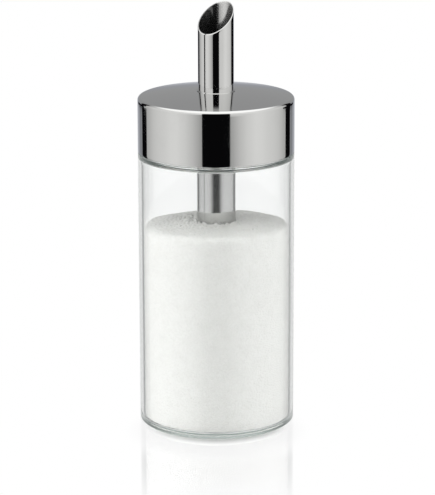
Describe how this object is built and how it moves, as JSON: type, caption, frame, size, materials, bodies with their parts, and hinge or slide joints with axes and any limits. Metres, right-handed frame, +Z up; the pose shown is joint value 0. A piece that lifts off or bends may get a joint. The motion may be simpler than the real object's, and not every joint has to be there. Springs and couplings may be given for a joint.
{
  "type": "sugar dispenser",
  "caption": "Glass sugar dispenser with a steel screw lid, a slant-cut spout tube with a gravity flap inside, and a sliding dosing sleeve.",
  "frame": {"origin": "centre of the jar's base, on the surface that it stands on", "axes": "+Z up along the jar's axis; the spout's mouth opens towards -Y and -X, 35 degrees round from -Y"},
  "size_m": [0.06, 0.06, 0.1637],
  "materials": {
    "jar_glass": "gloss",
    "sugar": "matte",
    "lid_steel": "polished",
    "tube_steel": "polished",
    "spring_steel": "satin",
    "insert_plastic": "satin",
    "silicone": "satin"
  },
  "bodies": {
    "jar": {"glass_jar": "jar_glass", "sugar_fill": "sugar"},
    "gasket": {"neck_gasket": "silicone"},
    "lid": {"lid_shell": "lid_steel", "lid_insert": "insert_plastic", "tube_seal": "silicone", "spout_tube": "tube_steel", "retaining_washer": "spring_steel", "sleeve_grip_ring": "silicone", "flap_pin": "spring_steel"},
    "flap": {"flap": "tube_steel"},
    "sleeve": {"dosing_sleeve": "tube_steel"}
  },
  "joints": [
    {"name": "lid_rise", "type": "slide", "parent": "jar", "child": "gasket", "axis": [0, 0, 1], "range_m": [0, 0.0044]},
    {"name": "lid_turn", "type": "hinge", "parent": "gasket", "child": "lid", "pos_m": [0, 0, 0.1067], "axis": [0, 0, 1], "range_deg": [0, 396]},
    {"name": "flap_swing", "type": "hinge", "parent": "lid", "child": "flap", "pos_m": [0, -0.00087, 0.1195], "axis": [1, 0, 0], "range_deg": [0, 58]},
    {"name": "sleeve_slide", "type": "slide", "parent": "lid", "child": "sleeve", "axis": [0, 0, 1], "range_m": [0, 0.0135]}
  ],
  "couplings": [
    {"joint": "lid_rise", "follows": "lid_turn", "m_per_rad": 0.0006366}
  ]
}
